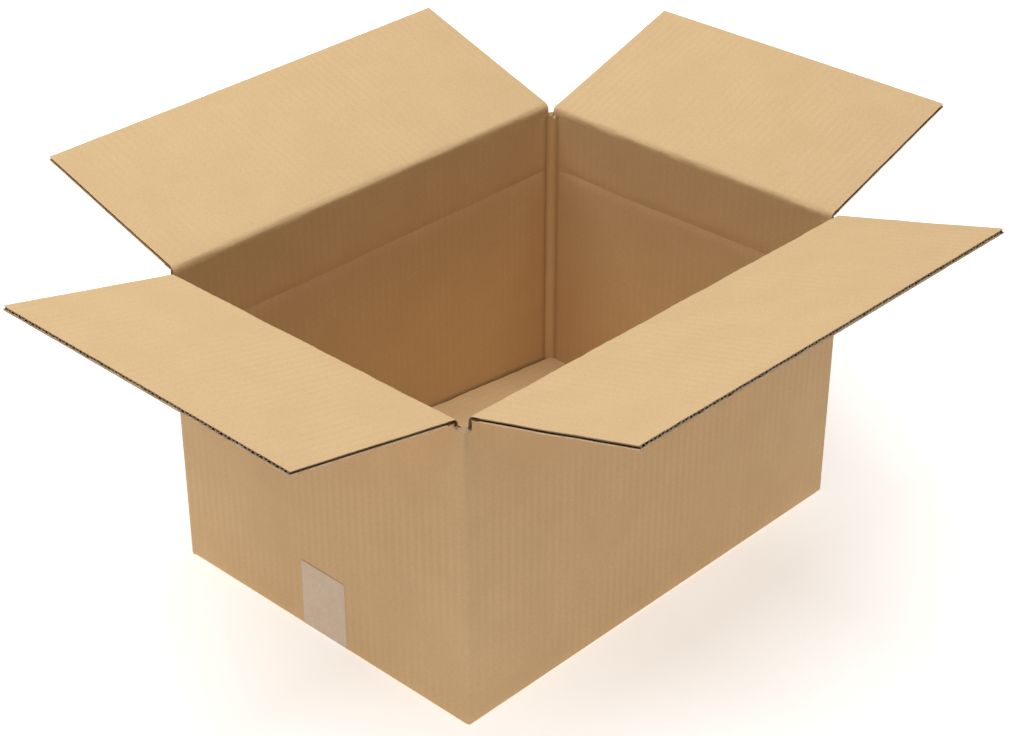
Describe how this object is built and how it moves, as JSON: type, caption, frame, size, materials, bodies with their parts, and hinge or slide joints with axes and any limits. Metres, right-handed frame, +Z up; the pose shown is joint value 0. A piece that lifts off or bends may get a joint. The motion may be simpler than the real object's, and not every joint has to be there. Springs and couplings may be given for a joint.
{
  "type": "open cardboard box",
  "caption": "Shallow corrugated cardboard shipping box with its top flaps folded outwards, for packing and carrying goods.",
  "frame": {"origin": "centre of the underside, on the surface the box stands on", "axes": "+X along the long side away from the taped front wall, +Y along the short side, +Z up"},
  "size_m": [0.7286, 0.6116, 0.3161],
  "materials": {
    "board": "matte",
    "tape": "satin"
  },
  "bodies": {
    "carton": {"carton_body": "board", "bottom_tape": "tape"},
    "short_front": {"short_flap_front": "board"},
    "short_back": {"short_flap_back": "board"},
    "long_front": {"long_flap_front": "board"},
    "long_back": {"long_flap_back": "board"}
  },
  "joints": [
    {"name": "short_front_fold", "type": "hinge", "parent": "carton", "child": "short_front", "pos_m": [-0.214, 0, 0.25985], "axis": [0, 1, 0], "range_deg": [-56.8, 168.2]},
    {"name": "short_back_fold", "type": "hinge", "parent": "carton", "child": "short_back", "pos_m": [0.214, 0, 0.25985], "axis": [0, -1, 0], "range_deg": [-63.1, 161.9]},
    {"name": "long_front_fold", "type": "hinge", "parent": "carton", "child": "long_front", "pos_m": [0, -0.157, 0.26415], "axis": [-1, 0, 0], "range_deg": [-60.9, 164.1]},
    {"name": "long_back_fold", "type": "hinge", "parent": "carton", "child": "long_back", "pos_m": [0, 0.157, 0.26415], "axis": [1, 0, 0], "range_deg": [-63.8, 161.2]}
  ]
}
